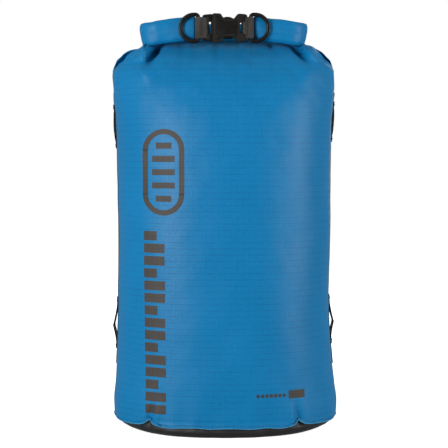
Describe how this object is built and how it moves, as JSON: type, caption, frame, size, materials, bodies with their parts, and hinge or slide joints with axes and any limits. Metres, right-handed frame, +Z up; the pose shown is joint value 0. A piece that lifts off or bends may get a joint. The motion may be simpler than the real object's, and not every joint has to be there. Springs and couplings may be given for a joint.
{
  "type": "dry bag",
  "caption": "Roll-top dry bag, filled and closed: oval coated-fabric shell, black base, side lash strips, and a rolled mouth whose ends meet at a side-release buckle.",
  "frame": {"origin": "middle of the base's underside, which is the bottom centre of the bounding box", "axes": "+Z up from the base to the rolled closure, +X to the right seen from the buckle side, and the buckle side faces -Y"},
  "size_m": [0.2682, 0.2144, 0.4881],
  "materials": {
    "shell_fabric": "coated ripstop, satin",
    "base_fabric": "heavier coated ripstop, satin",
    "seam_tape": "heat-bonded film",
    "lash_webbing": "woven webbing",
    "buckle_webbing": "woven webbing",
    "thread": "bonded thread",
    "stiffener": "smooth strip",
    "d_ring": "moulded nylon, slightly satin",
    "buckle": "moulded nylon, slightly satin"
  },
  "bodies": {
    "bag": {"front_panel": "shell_fabric", "back_panel": "shell_fabric", "base_panel": "base_fabric", "left_seam_tape": "seam_tape", "right_seam_tape": "seam_tape", "base_seam_tape": "seam_tape", "left_lash_strip": "lash_webbing", "right_lash_strip": "lash_webbing", "left_bar_tacks": "thread", "right_bar_tacks": "thread"},
    "closure": {"rolled_collar": "shell_fabric", "mouth_stiffener": "stiffener", "right_webbing_tab": "buckle_webbing", "right_tab_stitching": "thread", "buckle_female": "buckle"},
    "left_end": {"rolled_collar_end": "shell_fabric", "left_webbing_tab": "buckle_webbing", "left_tab_stitching": "thread", "buckle_male": "buckle"},
    "upper_latch": {"upper_latch_arm": "buckle"},
    "lower_latch": {"lower_latch_arm": "buckle"},
    "left_ring": {"left_d_ring": "d_ring"},
    "right_ring": {"right_d_ring": "d_ring"}
  },
  "joints": [
    {"name": "closure_tilt", "type": "hinge", "parent": "bag", "child": "closure", "pos_m": [0, 0.011, 0.453], "axis": [1, 0, 0], "range_deg": [-12, 12]},
    {"name": "buckle_release", "type": "slide", "parent": "closure", "child": "left_end", "axis": [-1, 0, 0], "range_m": [0, 0.03], "deforming": ["upper_latch_arm", "lower_latch_arm"]},
    {"name": "upper_latch_press", "type": "hinge", "parent": "left_end", "child": "upper_latch", "pos_m": [-0.01245, -0.0313, 0.4781], "axis": [0, 1, 0], "range_deg": [0, 5], "stiffness_Nm_per_rad": 0.2},
    {"name": "lower_latch_press", "type": "hinge", "parent": "left_end", "child": "lower_latch", "pos_m": [-0.01245, -0.0313, 0.4625], "axis": [0, 1, 0], "range_deg": [-5, 0], "stiffness_Nm_per_rad": 0.2},
    {"name": "left_ring_swing", "type": "hinge", "parent": "left_end", "child": "left_ring", "pos_m": [-0.0295, -0.0313, 0.4703], "axis": [0, 0, 1], "range_deg": [0, 110]},
    {"name": "right_ring_swing", "type": "hinge", "parent": "closure", "child": "right_ring", "pos_m": [0.0319, -0.0313, 0.4703], "axis": [0, 0, -1], "range_deg": [0, 110]}
  ],
  "couplings": [
    {"joint": "lower_latch_press", "follows": "upper_latch_press", "ratio": -1}
  ]
}
